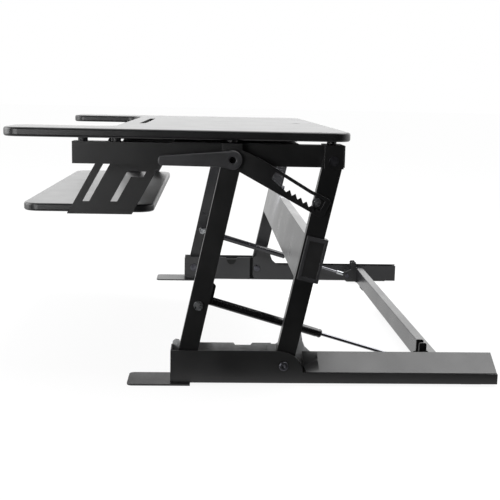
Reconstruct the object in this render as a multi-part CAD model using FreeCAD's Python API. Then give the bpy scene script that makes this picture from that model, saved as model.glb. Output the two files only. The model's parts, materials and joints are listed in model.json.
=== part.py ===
import FreeCAD, Part
import math
import os
from FreeCAD import Vector as V

# Overall layout. X across, Y from the user to the wall, Z up, desk raised.
deskWidth = 915.0
deskDepth = 562.0
deskThick = 15.0
deskCorner = 28.0
armWidth = 120.0
armReach = 166.0            # how far the two arms stand ahead of the middle
slotLength = 330.0
slotWidth = 12.0
slotDepth = 9.0
plugR = 6.0
slotBack = 37.0             # from the middle front edge to the slot centre
depthAll = 825.0            # desk front edge to the rear end of the base
deskFront = -depthAll / 2
railRear = depthAll / 2

# Linkage
legLength = 351.0           # pivot to pivot
legAngle = 77.9             # above the horizontal, raised
pivotGap = 165.0            # front to rear pivot
pivotHeight = 32.7
frontPivotBack = 24.2       # from the front end of the base rail
legWide = 32.0
legThick = 18.0
legOuter = 450.0
legInner = legOuter - legThick
pinR = 5.0
runFit = 0.05
gap = 0.3

# Base
railLength = 554.0
railOuter = 457.5
railInner = 412.5
footThick = 3.0
wall = 2.0
boxHeight = 55.5
boxLength = 189.0
lipHeight = 17.5
innerHeight = 40.0
footFront = 72.0            # foot plate ahead of the rail
footBack = 33.0
footInner = 400.0
footOuter = 466.0
beamThick = 18.0
beamTall = 36.0
beamAhead = 88.5            # beam rear face to the rear end of the rails

# Upper frame
railClear = 2.0             # between a leg and the rail beside it
upRailOuter = legInner - railClear
upRailWide = 30.0
upRailTall = 36.0
upRailDrop = 12.0           # rail underside below the top pivots
spacerTall = 7.1            # desktop underside above the rails
upRailAhead = 260.0
upRailBehind = 21.0
trayHalf = 345.0
trayAhead = 7.5             # tray front behind the desktop front
trayDepth = 228.0
trayThick = 14.0
trayDrop = 133.5            # underside of the tray below the underside of the desktop
bracketAhead = 87.5
bracketDeep = 111.0
plate = 3.0
bracketOuter = 351.0
bracketLean = 0.558
slotFace = 11.5

# Gas springs
springX = 388.0
springPinAlong = 103.0
cylR = 7.5
rodR = 3.0
cylReach = 223.0
ballY = 279.0
ballZ = 23.0

# Levers and racks
rackInner = 454.0
leverInner = rackInner + plate + gap
leverThick = 12.0
bossR = 15.5
leverReach = 119.0
rackAngle = -25.9
rackPinBelow = 71.5         # from the top pivot, along the leg
rackPinAhead = 11.5

sides = {"right": 1, "left": -1}
railFront = railRear - railLength
frontPivot = (railFront + frontPivotBack, pivotHeight)
rearPivot = (frontPivot[0] + pivotGap, pivotHeight)
lean = math.radians(legAngle)
legDir = (math.cos(lean), math.sin(lean))
topFront = (frontPivot[0] + legLength * legDir[0], pivotHeight + legLength * legDir[1])
topRear = (topFront[0] + pivotGap, topFront[1])
railBase = topFront[1] - upRailDrop
railTop = railBase + upRailTall
deskRise = railTop + spacerTall
deskMidFront = deskFront + armReach
trayFront = deskFront + trayAhead
trayBack = trayFront + trayDepth
trayRise = deskRise - trayDrop

nodes = {}


def box(x0, x1, y0, y1, z0, z1):
    return Part.makeBox(x1 - x0, y1 - y0, z1 - z0, V(x0, y0, z0))


def slab(points, x0, x1):
    # outline in Y and Z, carried from x0 to x1
    ring = [V(x0, y, z) for y, z in points]
    face = Part.Face(Part.makePolygon(ring + [ring[0]]))
    return face.extrude(V(x1 - x0, 0, 0))


def flat(points, z0, z1):
    ring = [V(x, y, z0) for x, y in points]
    face = Part.Face(Part.makePolygon(ring + [ring[0]]))
    return face.extrude(V(0, 0, z1 - z0))


def rod(x0, x1, y, z, r):
    return Part.makeCylinder(r, x1 - x0, V(x0, y, z), V(1, 0, 0))


def post(x, y, z0, z1, r):
    return Part.makeCylinder(r, z1 - z0, V(x, y, z0), V(0, 0, 1))


def mirrored(shape):
    return shape.mirror(V(0, 0, 0), V(1, 0, 0))


def both(name, shape):
    nodes[name + "_right"] = shape
    nodes[name + "_left"] = mirrored(shape)


def pair(name, shapes):
    nodes[name] = Part.makeCompound(shapes + [mirrored(s) for s in shapes])


def along(start, d, side=0.0):
    # a point d along a raised leg from its base pivot, side mm behind its centre line
    return (start[0] + d * legDir[0] + side * legDir[1], start[1] + d * legDir[1] - side * legDir[0])


def roundEdges(shape, r, test):
    edges = [e for e in shape.Edges if test(e)]
    return shape.makeFillet(r, edges)


def upright(e):
    a, b = e.Vertexes[0].Point, e.Vertexes[-1].Point
    return abs(a.x - b.x) < 1e-6 and abs(a.y - b.y) < 1e-6 and abs(a.z - b.z) > 1


def alongX(e):
    a, b = e.Vertexes[0].Point, e.Vertexes[-1].Point
    return abs(a.y - b.y) < 1e-6 and abs(a.z - b.z) < 1e-6 and abs(a.x - b.x) > 0.5


def legTube(base, foot, head):
    # rectangular tube with rounded ends about both pivots
    half = legWide / 2
    corners = [along(base, 0, -half), along(base, 0, half), along(base, legLength, half),
               along(base, legLength, -half)]
    top = along(base, legLength)
    solid = slab(corners, legInner, legOuter)
    solid = solid.fuse(rod(legInner, legOuter, base[0], base[1], half))
    solid = solid.fuse(rod(legInner, legOuter, top[0], top[1], half))
    inner = half - wall
    core = [along(base, 26, -inner), along(base, 26, inner), along(base, legLength - 26, inner),
            along(base, legLength - 26, -inner)]
    solid = solid.cut(slab(core, legInner + wall, legOuter - wall))
    for y, z in (base, top):
        solid = solid.cut(rod(legInner - 1, legOuter + 1, y, z, pinR + runFit))
    return solid.removeSplitter()


# ---- base rails ----
y0, y1 = railFront, railRear
z0 = footThick
boxTop = z0 + boxHeight
lipTop = z0 + lipHeight
innerTop = z0 + innerHeight
curveFrom = y0 + boxLength - 17
curveTo = y0 + boxLength + 33
outline = [(y0, z0), (y1, z0), (y1, lipTop), (curveTo, lipTop)]
for k in range(1, 13):
    a = math.radians(90 * k / 12)
    outline.append((curveFrom + (curveTo - curveFrom) * math.cos(a) ** 0.8,
                    lipTop + (boxTop - lipTop) * math.sin(a)))
outline.append((y0, boxTop))
outerWall = slab(outline, railOuter - wall, railOuter)
floorPlate = box(railInner, railOuter, y0, y1, z0, z0 + wall)
rearWall = box(railInner + wall + gap, railOuter, y1 - wall, y1, z0, lipTop)
baseRail = outerWall.fuse(floorPlate).fuse(rearWall)
baseRail = baseRail.cut(rod(railOuter - 5, railOuter + 1, rearPivot[0], rearPivot[1], pinR))
both("base_rail", baseRail.removeSplitter())

# inner wall of the front box, with the dip that clears the gas spring pin when lowered
seam = rearPivot[0] - 14
dipFrom, dipTo = y0 + 106, y0 + 138
innerOutline = [(y0 + wall, z0 + wall + gap), (seam - 5, z0 + wall + gap), (seam - 5, boxTop + 2),
                (dipTo, boxTop + 2),
                (dipTo - 3, boxTop - 2), (dipFrom + 3, boxTop - 2), (dipFrom, boxTop + 2),
                (y0 + 16, boxTop + 2), (y0 + 13, boxTop + 7), (y0 + 7, boxTop + 8), (y0 + wall, boxTop + 4)]
innerWall = slab(innerOutline, railInner, railInner + wall)
frontWall = box(railInner, railOuter - wall - gap, y0, y0 + wall, z0 + wall + gap, boxTop - 1)
lapTo = seam + 4
lapRoot = box(railInner + 1, railInner + wall + gap + 1.2, seam - 12, seam - 5, z0 + 6, boxTop + 1)
lap = box(railInner + wall + gap, railInner + wall + gap + 1.2, seam - 12, lapTo, z0 + 6, boxTop + 1)
boxWall = innerWall.fuse(frontWall).fuse(lapRoot).fuse(lap)
boxWall = boxWall.cut(rod(railInner - 1, railInner + 3, frontPivot[0], frontPivot[1], pinR))
both("box_inner_wall", boxWall.removeSplitter())

# rear inner plate with the upright stop tab beside the rear leg
tabFrom, tabTo = rearPivot[0] + 1, rearPivot[0] + 35
platePts = [(seam + 9, z0 + wall + gap), (y1, z0 + wall + gap), (y1, innerTop), (tabTo + 26, innerTop),
            (tabTo + 14, innerTop + 3), (tabTo + 4, innerTop + 12), (tabTo, z0 + 62),
            (tabTo - 3, z0 + 80), (tabFrom, z0 + 80), (tabFrom - 3, z0 + 62), (seam + 3, z0 + 56),
            (seam + 3, z0 + 12), (seam + 5, z0 + 6)]
innerPlate = slab(platePts, railInner, railInner + wall)
innerPlate = innerPlate.cut(rod(railInner - 1, railInner + 3, rearPivot[0], rearPivot[1], pinR))
both("rail_inner_plate", innerPlate)

# slanted cover over the rear of the rail
coverFrom = y0 + 250
coverLow = (railOuter - 0.2, lipTop + gap)
coverHigh = (railInner + wall + gap, innerTop + 2.5)
sheet = 1.5
ring = [V(coverLow[0], coverFrom, coverLow[1]), V(coverLow[0], coverFrom, coverLow[1] + sheet),
        V(coverHigh[0], coverFrom, coverHigh[1] + sheet), V(coverHigh[0], coverFrom, coverHigh[1])]
cover = Part.Face(Part.makePolygon(ring + [ring[0]])).extrude(V(0, y1 - 1.5 - coverFrom, 0))
# its front end is pressed down into a trough that the lowered rear leg drops into
noseInner, noseOuter, troughX, troughZ = y0 + 224.0, y0 + 228.0, legInner - 1, z0 + 21.5
slope = (coverHigh[1] - coverLow[1]) / (coverLow[0] - coverHigh[0])


def coverRing(ys, midZ):
    low = [V(coverLow[0], ys[0], coverLow[1]), V(troughX, ys[1], midZ), V(coverHigh[0], ys[2], coverHigh[1])]
    high = [v + V(0, 0, sheet) for v in reversed(low)]
    return Part.makePolygon(low + high + [low[0]])


noseMid = noseInner + (noseOuter - noseInner) * (troughX - coverHigh[0]) / (coverLow[0] - coverHigh[0])
flatMid = coverLow[1] + slope * (coverLow[0] - troughX)
nose = Part.makeLoft([coverRing((noseOuter, noseMid, noseInner), troughZ),
                      coverRing((coverFrom, coverFrom, coverFrom), flatMid)], True, True)
cover = cover.fuse(nose)
both("rail_cover", cover)

# foot plates and their screws
foot = box(footInner, footOuter, y0 - footFront, y0 + footBack, 0, footThick)
foot = roundEdges(foot, 9, lambda e: upright(e) and e.Vertexes[0].Point.y < y0 - 10)
screwY = (y0 + 10, y0 + 25)
screws = []
for sy in screwY:
    head = post(434, sy, z0 + wall, z0 + wall + 2, 5)
    shank = post(434, sy, 0.6, z0 + wall, 2.5)
    foot = foot.cut(post(434, sy, 0.6, z0 + 1, 2.5))
    screws.append(head.fuse(shank))
for name in ("base_rail_right", "base_rail_left"):
    for sy in screwY:
        hole = post(434, sy, z0 - 1, z0 + wall + 1, 2.5)
        nodes[name] = nodes[name].cut(hole if name.endswith("right") else mirrored(hole))
both("foot_plate", foot)
pair("foot_plate_screws", screws)

# rubber pads under the rear of the rails and under the crossbeam ends
pads = [box(railInner + 8, railOuter - 8, railRear - 60, railRear - 25, 0, footThick),
        box(300, 340, railRear - beamAhead - beamThick + 1, railRear - beamAhead - 1, 0, footThick)]
pair("rubber_pads", pads)

# rubber rests on the inner walls, under the dip
rests = rod(railInner - 4, railInner, (dipFrom + dipTo) / 2, boxTop - 4, 11.5)
rests = rests.cut(box(railInner - 5, railInner + 1, dipFrom - 5, dipTo + 5, boxTop - 3, boxTop + 20))
pair("rest_pads", [rests])

# rear crossbeam: square-edged tube between the rails
beamRear = railRear - beamAhead
beamFront = beamRear - beamThick
beam = box(-railInner + gap, railInner - gap, beamFront, beamRear, z0, z0 + beamTall)
beam = roundEdges(beam, 2.0, alongX)
beam = beam.cut(box(-railInner, railInner, beamFront + 1.5, beamRear - 1.5, z0 + 1.5, z0 + beamTall - 1.5))
ends = [box(railInner - 4, railInner - gap, beamFront + 1.5, beamRear - 1.5, z0 + 1.5, z0 + beamTall - 1.5)]
ends.append(mirrored(ends[0]))
for e in ends:
    beam = beam.fuse(e)
boltAt = (beamFront + beamThick / 2, z0 + beamTall / 2)
boltHole = rod(railInner - 6, railInner + 5, boltAt[0], boltAt[1], 3)
beam = beam.cut(boltHole).cut(mirrored(boltHole))
nodes["rear_crossbeam"] = beam.removeSplitter()
for name in ("rail_inner_plate_right", "rail_inner_plate_left"):
    nodes[name] = nodes[name].cut(boltHole if name.endswith("right") else mirrored(boltHole))
beamBolt = rod(railInner - 6, railInner + wall, boltAt[0], boltAt[1], 3)
beamBolt = beamBolt.fuse(rod(railInner + wall, railInner + wall + 4, boltAt[0], boltAt[1], 6))
pair("crossbeam_bolts", [beamBolt])

# clevis for each gas spring on the front of the crossbeam
clevis = box(springX - 13, springX + 13, beamFront - 3, beamFront, z0 + 2, z0 + beamTall)
for s in (-1, 1):
    x = springX + s * 11.5
    ear = slab([(beamFront, z0 + 4), (beamFront, z0 + 40), (beamFront - 4, z0 + 43), (beamFront - 4, z0 + 54),
                (beamFront - 6, z0 + 56), (beamFront - 15, z0 + 56), (beamFront - 17, z0 + 54),
                (beamFront - 17, z0 + 36), (ballY - 9, ballZ + 8), (ballY - 9, ballZ - 9), (ballY, z0 + 4)],
               x - 1.5, x + 1.5)
    clevis = clevis.fuse(ear)
clevis = clevis.cut(rod(springX - 20, springX + 20, ballY, ballZ, 3))
both("spring_clevis", clevis.removeSplitter())
stubs = []
for s in (-1, 1):
    a, b = sorted((springX + s * 9.6, springX + s * 13))
    c, d = sorted((springX + s * 13, springX + s * 15.5))
    stubs.append(rod(a, b, ballY, ballZ, 3).fuse(rod(c, d, ballY, ballZ, 5)))
pair("clevis_studs", stubs)

# pins at the base pivots
frontPin = rod(railInner - 3, railInner, frontPivot[0], frontPivot[1], 9)
frontPin = frontPin.fuse(rod(railInner, railOuter - wall - gap, frontPivot[0], frontPivot[1], pinR))
frontPin = frontPin.fuse(rod(railInner + wall + gap, legInner - gap, frontPivot[0], frontPivot[1], 9))
pair("base_pins_front", [frontPin])
rearPin = rod(railInner - 4, railInner, rearPivot[0], rearPivot[1], 8)
rearPin = rearPin.fuse(rod(railInner, railOuter, rearPivot[0], rearPivot[1], pinR))
rearPin = rearPin.fuse(rod(railInner + wall + gap, legInner - gap, rearPivot[0], rearPivot[1], 9))
cap = rod(railOuter, railOuter + 3.5, rearPivot[0], rearPivot[1], 8)
cap = cap.cut(rod(railOuter + 1.5, railOuter + 5, rearPivot[0], rearPivot[1], 3.5))
pair("base_bolts_rear", [rearPin.fuse(cap)])

# ---- front legs ----
springPin = along(frontPivot, springPinAlong)
frontLeg = legTube(frontPivot, 0, 0)
frontLeg = frontLeg.cut(rod(legInner - 1, legOuter + 1, springPin[0], springPin[1], 4))
both("front_leg", frontLeg)
pin = rod(springX - 8, legOuter, springPin[0], springPin[1], 4)
pin = pin.fuse(rod(legOuter, legOuter + 3.5, springPin[0], springPin[1], 8))
pin = pin.fuse(rod(springX - 10.5, springX - 8, springPin[0], springPin[1], 7))
pin = pin.fuse(rod(springX + 7.8, springX + 10.4, springPin[0], springPin[1], 7))
both("spring_pin", pin)
tab = [along(frontPivot, 93, -12), along(frontPivot, 93, 14), along(frontPivot, 103, 16),
       along(frontPivot, 107, 22), along(frontPivot, 138, 22), along(frontPivot, 142, 17),
       along(frontPivot, 142, -12)]
gusset = slab(tab, legInner - 3, legInner)
gusset = gusset.cut(rod(legInner - 5, legInner + 1, springPin[0], springPin[1], 4))
both("leg_gusset", gusset)

# ---- rear legs with their crossbar ----
rackPin = along(rearPivot, legLength - rackPinBelow, -rackPinAhead)
rearLeg = legTube(rearPivot, 0, 0)
rearLeg = rearLeg.cut(rod(legOuter - 4, legOuter + 1, rackPin[0], rackPin[1], 4))
barFrom, barTo, barDeep = 148.0, 223.0, 19.0
front = -legWide / 2
web = slab([along(rearPivot, barFrom, front), along(rearPivot, barFrom, front + 2),
            along(rearPivot, barTo, front + 2), along(rearPivot, barTo, front)],
           -legInner + gap, legInner - gap)
lower = slab([along(rearPivot, barFrom, front), along(rearPivot, barFrom, front + barDeep),
              along(rearPivot, barFrom + 2, front + barDeep), along(rearPivot, barFrom + 2, front)],
             -legInner + gap, legInner - gap)
upper = slab([along(rearPivot, barTo - 2, front), along(rearPivot, barTo - 2, front + barDeep),
              along(rearPivot, barTo, front + barDeep), along(rearPivot, barTo, front)],
             -legInner + gap, legInner - gap)
bar = web.fuse(lower).fuse(upper)
endPlate = slab([along(rearPivot, barFrom, front), along(rearPivot, barFrom, front + barDeep),
                 along(rearPivot, barTo, front + barDeep), along(rearPivot, barTo, front)],
                legInner - 3, legInner - gap)
bar = bar.fuse(endPlate).fuse(mirrored(endPlate))
screwAlong = (barFrom + 18, barTo - 18)
barScrews = []
for d in screwAlong:
    p = along(rearPivot, d, front + 8)
    hole = rod(legInner - 8, legOuter + 1, p[0], p[1], 3)
    bar = bar.cut(hole).cut(mirrored(hole))
    rearLeg = rearLeg.cut(hole)
    shank = rod(legInner - 8, legOuter, p[0], p[1], 3)
    barScrews.append(shank.fuse(rod(legInner - 8, legInner - 3, p[0], p[1], 5)))
nodes["rear_crossbar"] = bar.removeSplitter()
both("rear_leg", rearLeg)
pair("crossbar_screws", barScrews)
capOuter = legOuter + 3.4
coverPts = [along(rearPivot, barFrom, -legWide / 2 + 3), along(rearPivot, barFrom, legWide / 2 + 7),
            along(rearPivot, barTo, legWide / 2 + 7), along(rearPivot, barTo, -legWide / 2 + 3)]
endCap = slab(coverPts, legInner + 2, capOuter)
legBlock = slab([along(rearPivot, barFrom - 5, -legWide), along(rearPivot, barFrom - 5, legWide / 2 + gap),
                 along(rearPivot, barTo + 5, legWide / 2 + gap), along(rearPivot, barTo + 5, -legWide)],
                legInner - 1, legOuter)
endCap = endCap.cut(legBlock)
inset = slab([along(rearPivot, barFrom + 7, -legWide / 2 + 9), along(rearPivot, barFrom + 7, legWide / 2 + 2),
              along(rearPivot, barTo - 7, legWide / 2 + 2), along(rearPivot, barTo - 7, -legWide / 2 + 9)],
             capOuter - 0.8, capOuter + 1)
endCap = endCap.cut(inset)
both("crossbar_cover", endCap)
stub = rod(legOuter - 4, rackInner - gap, rackPin[0], rackPin[1], 4)
stub = stub.fuse(rod(legOuter, legOuter + 1.5, rackPin[0], rackPin[1], 7.5))
both("rack_pin", stub)

# ---- upper rails: channels open inboard ----
ry0, ry1 = topFront[0] - upRailAhead, topRear[0] + upRailBehind
channel = box(upRailOuter - upRailWide, upRailOuter, ry0, ry1, railBase, railTop)
channel = channel.cut(box(upRailOuter - upRailWide - 1, upRailOuter - wall, ry0 - 1, ry1 + 1,
                          railBase + wall, railTop - wall))
for y, z in (topFront, topRear):
    channel = channel.cut(rod(upRailOuter - 10, upRailOuter + 1, y, z, pinR + runFit))
spacerY = (ry0 + 16, ry0 + 70, topFront[0], topRear[0])
for y in spacerY:
    channel = channel.cut(post(upRailOuter - 15, y, railBase - 1, railTop + 1, 2.6))
both("upper_rail", channel)

# outer cheeks of the top pivots, each folded over onto the rail
for label, (py, pz) in (("front", topFront), ("rear", topRear)):
    cheek = box(legOuter + 0.4, legOuter + 2.4, py - 16, py + 16, pz - 13, railTop + 2)
    web = box(upRailOuter - 28, legOuter + 2.4, py - 16, py + 16, railTop, railTop + 2)
    cheek = cheek.fuse(web)
    cheek = cheek.cut(rod(legOuter - 1, legOuter + 5, py, pz, pinR + runFit))
    cheek = cheek.cut(post(upRailOuter - 15, py, railTop - 1, railTop + 3, 2.6))
    pair("pivot_cheeks_" + label, [cheek.removeSplitter()])

# cross plate tying the two rails
crossFrom, crossTo = topFront[0] - 97, topRear[0] - 55
crossPlate = box(-upRailOuter + 2, upRailOuter - 2, crossFrom, crossTo, railTop, railTop + 1.5)
flangeIn = upRailOuter - upRailWide - 2
crossPlate = crossPlate.fuse(box(-flangeIn, flangeIn, crossFrom, crossFrom + 1.5, railTop - 18, railTop))
crossPlate = crossPlate.fuse(box(-flangeIn, flangeIn, crossTo - 1.5, crossTo, railTop - 18, railTop))
notch = box(upRailOuter - 28 - gap, upRailOuter, topFront[0] - 16 - gap, topFront[0] + 16 + gap,
            railTop - 1, railTop + 3)
crossPlate = crossPlate.cut(notch).cut(mirrored(notch))
nodes["cross_plate"] = crossPlate.removeSplitter()

# rear pivot bolts, top
bolts = rod(upRailOuter - 6, upRailOuter - wall, topRear[0], topRear[1], 8)
bolts = bolts.fuse(rod(upRailOuter - wall, legOuter + 2.4, topRear[0], topRear[1], pinR))
bolts = bolts.fuse(rod(legOuter + 2.4, rackInner - gap, topRear[0], topRear[1], 8))
pair("top_bolts_rear", [bolts])

# ---- desktop ----
half = deskWidth / 2
back = deskFront + deskDepth
armIn = half - armWidth
outline = [(-half, deskFront), (-armIn, deskFront), (-armIn, deskMidFront), (armIn, deskMidFront),
           (armIn, deskFront), (half, deskFront), (half, back), (-half, back)]
desk = flat(outline, deskRise, deskRise + deskThick)


def cornerOf(x, y):
    def test(e):
        at = e.Vertexes[0].Point
        return upright(e) and abs(abs(at.x) - x) < 1 and abs(at.y - y) < 1
    return test


desk = roundEdges(desk, deskCorner, cornerOf(half, deskFront))
desk = roundEdges(desk, deskCorner, cornerOf(half, back))
desk = roundEdges(desk, 26, cornerOf(armIn, deskFront))
desk = roundEdges(desk, 34, cornerOf(armIn, deskMidFront))
top = deskRise + deskThick
rim = [e for e in desk.Edges if all(abs(v.Point.z - top) < 1e-6 for v in e.Vertexes)]
desk = desk.makeFillet(4.0, rim)
slotY = deskMidFront + slotBack
groove = box(-slotLength / 2, slotLength / 2, slotY - slotWidth / 2, slotY + slotWidth / 2,
             top - slotDepth, top + 1)
groove = roundEdges(groove, slotWidth / 2 - 0.2, upright)
desk = desk.cut(groove)
screwR = 2.0
for sx in (-1, 1):
    for y in spacerY:
        desk = desk.cut(post(sx * (upRailOuter - 15), y, deskRise - 1, deskRise + 11, screwR))
plugY = back - 50
desk = desk.cut(post(0, plugY, deskRise - 1, top + 1, plugR + gap / 2))
nodes["desktop"] = desk
nodes["cable_plug"] = post(0, plugY, deskRise + 3, top - 0.2, plugR)

# spacers and screws between rails and desktop
spacers = []
deskScrews = []
for i, y in enumerate(spacerY):
    low = railTop if i < 2 else railTop + 2
    ring = post(upRailOuter - 15, y, low, deskRise, 8)
    ring = ring.cut(post(upRailOuter - 15, y, low - 1, deskRise + 1, 2.6))
    spacers.append(ring)
    shank = post(upRailOuter - 15, y, railBase + upRailTall - wall, deskRise + 10.8, 2.0)
    head = post(upRailOuter - 15, y, railTop - wall - 3, railTop - wall, 5)
    deskScrews.append(shank.fuse(head))
pair("desk_spacers", spacers)

# ---- keyboard tray and its two brackets ----
tray = box(-trayHalf, trayHalf, trayFront, trayBack, trayRise, trayRise + trayThick)
tray = roundEdges(tray, 30, upright)
rim = [e for e in tray.Edges if all(abs(v.Point.z - trayRise - trayThick) < 1e-6 for v in e.Vertexes)]
tray = tray.makeFillet(3.5, rim)
foot0 = trayRise - plate + 0.5


def leanY(y, z):
    return y + (z - foot0) * bracketLean


b0 = deskFront + bracketAhead
b1 = b0 + bracketDeep
bx0, bx1 = bracketOuter - plate, bracketOuter
bracket = slab([(b0, foot0), (b1, foot0), (leanY(b1, deskRise), deskRise), (leanY(b0, deskRise), deskRise)],
               bx0, bx1)


def slotAt(y, low, high):
    return [(leanY(y, low), low), (leanY(y + slotFace, low), low), (leanY(y + slotFace, high), high),
            (leanY(y, high), high)]


s1, s2, sLow = b0 + 14, b0 + 62, trayRise + 19.5
bracket = bracket.cut(slab(slotAt(s1, sLow, railTop + 1), bx0 - 1, bx1 + 1))
hookTop, hookLow = deskRise - 59.5, deskRise - 71
bracket = bracket.cut(slab(slotAt(s2, sLow, hookTop), bx0 - 1, bx1 + 1))
hookEnd = leanY(b1, hookLow) - 16
bracket = bracket.cut(slab([(leanY(s2, hookLow) + 1, hookLow), (hookEnd, hookLow),
                            (hookEnd + 6, hookTop), (leanY(s2, hookTop), hookTop)], bx0 - 1, bx1 + 1))
underTray = box(bx0 - 45, bx1, b0, b1, foot0, trayRise)
underDesk = box(bx0 - 30, bx1, leanY(b0, deskRise), leanY(b1, deskRise), deskRise - plate, deskRise)
bracket = bracket.fuse(underTray).fuse(underDesk)
trayScrews = []
for y in (b0 + 20, b1 - 20):
    x = bx0 - 22
    bracket = bracket.cut(post(x, y, foot0 - 1, trayRise + 1, 2.2))
    hole = post(x, y, trayRise - 1, trayRise + 10, 2.0)
    tray = tray.cut(hole).cut(mirrored(hole))
    trayScrews.append(post(x, y, foot0 - 2.5, foot0, 4.5).fuse(post(x, y, foot0, trayRise + 9.8, 2.0)))
for y in (leanY(b0, deskRise) + 18, leanY(b1, deskRise) - 18):
    x = bx0 - 16
    bracket = bracket.cut(post(x, y, deskRise - plate - 1, deskRise + 1, 2.2))
    hole = post(x, y, deskRise - 1, deskRise + 11, 2.0)
    nodes["desktop"] = nodes["desktop"].cut(hole).cut(mirrored(hole))
    deskScrews.append(post(x, y, deskRise - plate - 2.5, deskRise - plate, 4.5).fuse(
        post(x, y, deskRise - plate, deskRise + 10.8, 2.0)))
nodes["keyboard_tray"] = tray
both("tray_bracket", bracket.removeSplitter())
pair("tray_screws", trayScrews)
pair("desk_screws", deskScrews)

# ---- levers, racks and their shafts ----
py, pz = topFront
shaft = rod(upRailOuter - 6, upRailOuter - wall, py, pz, 8)
shaft = shaft.fuse(rod(upRailOuter - wall, leverInner + leverThick - 4, py, pz, pinR))
shaft = shaft.cut(rod(leverInner + leverThick - 9, leverInner + leverThick, py, pz, 2.2))
both("lever_shaft", shaft)

rot = math.radians(rackAngle)


def onRack(u, w):
    # u along the rack from the shaft, w above its centre line
    return (py + u * math.cos(rot) - w * math.sin(rot), pz + u * math.sin(rot) + w * math.cos(rot))


rackLen, slotFrom, slotTo = 174.0, 70.0, 165.0
firstTooth, toothPitch, toothLean, toothCount = 101.5, 11.0, 4.0, 6
rackPts = [onRack(-17, 12), onRack(-4, 20), onRack(40, 22), onRack(slotFrom - 4, 20), onRack(138, 13.8),
           onRack(rackLen - 4, 14), onRack(rackLen, 10.5), onRack(rackLen, -14), onRack(rackLen - 7, -19.5),
           onRack(20, -12.5), onRack(0, -16), onRack(-17, -8)]
rack = slab(rackPts, rackInner, rackInner + plate)
teeth = [onRack(slotFrom, 1.5), onRack(slotFrom + 1.5, 14.2), onRack(138, 8.2), onRack(slotTo, 8.8),
         onRack(slotTo, -11)]
for k in reversed(range(toothCount)):
    root = firstTooth + k * toothPitch
    tip = root + toothLean
    teeth.append(onRack(tip, -0.7 - 0.14 * (tip - firstTooth)))
    teeth.append(onRack(root, -7.4 - 0.12 * (root - firstTooth)))
teeth.append(onRack(95, -4.6))
teeth.append(onRack(80, -1.2))
rack = rack.cut(slab(teeth, rackInner - 1, rackInner + plate + 1))
rack = rack.cut(rod(rackInner - 1, rackInner + plate + 1, py, pz, pinR + runFit))
both("rack_plate", rack)

lx0, lx1 = leverInner, leverInner + leverThick
armTip = py - leverReach
lever = rod(lx0, lx1, py, pz, bossR)
armPts = [(py, pz + 15.2), (py - 17, pz + 12.8), (armTip + 8, pz + 5.5), (armTip + 2, pz + 3.5),
          (armTip, pz - 0.5), (armTip, pz - 6), (armTip + 3, pz - 9.2), (armTip + 9, pz - 10.2),
          (py - 17, pz - 11.2), (py, pz - 15.2)]
lever = lever.fuse(slab(armPts, lx0, lx1))
lever = lever.cut(rod(lx0 - 1, lx1 + 1, py, pz, pinR + runFit))
lever = lever.removeSplitter()
both("lever", lever)

# ---- gas springs ----
dy, dz = ballY - springPin[0], ballZ - springPin[1]
reach = math.hypot(dy, dz)
d = V(0, dy / reach, dz / reach)
pinAt = V(springX, springPin[0], springPin[1])


def barrel(a, b, r):
    return Part.makeCylinder(r, b - a, pinAt + d * a, d)


eye = rod(springX - 7, springX + 7, springPin[0], springPin[1], 9)
body = barrel(6, cylReach, cylR).fuse(eye)
body = body.cut(barrel(22, cylReach - 12, cylR - 1))
body = body.cut(barrel(cylReach - 13, cylReach + 1, rodR + runFit))
body = body.cut(rod(springX - 8, springX + 8, springPin[0], springPin[1], 4 + runFit))
both("gas_cylinder", body)
rodIn = cylReach - 62
piston = barrel(rodIn, rodIn + 12, cylR - 1 - runFit)
both("gas_rod", piston.fuse(barrel(rodIn + 12, reach - 14, rodR)))
endBall = V(springX, ballY, ballZ)
socket = barrel(reach - 26, reach - 5, 5).cut(barrel(reach - 27, reach - 14, rodR))
fitting = socket.fuse(rod(springX - 6, springX + 6, ballY, ballZ, 8))
fitting = fitting.fuse(rod(springX - 9.2, springX + 9.2, ballY, ballZ, 3))
both("rod_end", fitting)

os.makedirs("parts", exist_ok=True)
for name, shape in nodes.items():
    shape.exportStep("parts/" + name + ".step")
print(len(nodes), "nodes")
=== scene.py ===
import bmesh
import bpy
import json
import math
from mathutils import Matrix, Vector


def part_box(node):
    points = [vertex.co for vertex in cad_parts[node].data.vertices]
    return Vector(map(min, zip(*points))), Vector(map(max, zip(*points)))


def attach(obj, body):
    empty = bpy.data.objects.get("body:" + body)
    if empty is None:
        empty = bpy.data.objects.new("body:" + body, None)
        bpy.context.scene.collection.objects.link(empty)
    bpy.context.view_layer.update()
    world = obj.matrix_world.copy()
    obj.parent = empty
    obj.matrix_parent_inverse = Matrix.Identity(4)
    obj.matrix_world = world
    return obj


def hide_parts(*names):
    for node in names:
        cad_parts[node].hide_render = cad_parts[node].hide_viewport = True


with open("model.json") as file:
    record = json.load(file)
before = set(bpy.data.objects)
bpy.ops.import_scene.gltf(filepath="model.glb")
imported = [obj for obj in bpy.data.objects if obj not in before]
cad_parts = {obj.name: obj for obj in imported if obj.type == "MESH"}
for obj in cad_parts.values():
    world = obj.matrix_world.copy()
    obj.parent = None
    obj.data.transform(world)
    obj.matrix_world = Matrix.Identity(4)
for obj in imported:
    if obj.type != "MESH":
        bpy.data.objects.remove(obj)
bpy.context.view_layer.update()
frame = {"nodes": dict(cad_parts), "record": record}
nodes = frame["nodes"]
bodyOf = {}
for bodyName, members in frame["record"]["behaviour"]["bodies"].items():
    for member in members:
        bodyOf[member] = bodyName
slotOf = {entry["node"]: entry["material_slot"] for entry in frame["record"]["subparts"]}
mm = 0.001
weldGap = 2e-6
sides = (("right", 1), ("left", -1))
print("frame loaded,", len(nodes), "nodes")


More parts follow.
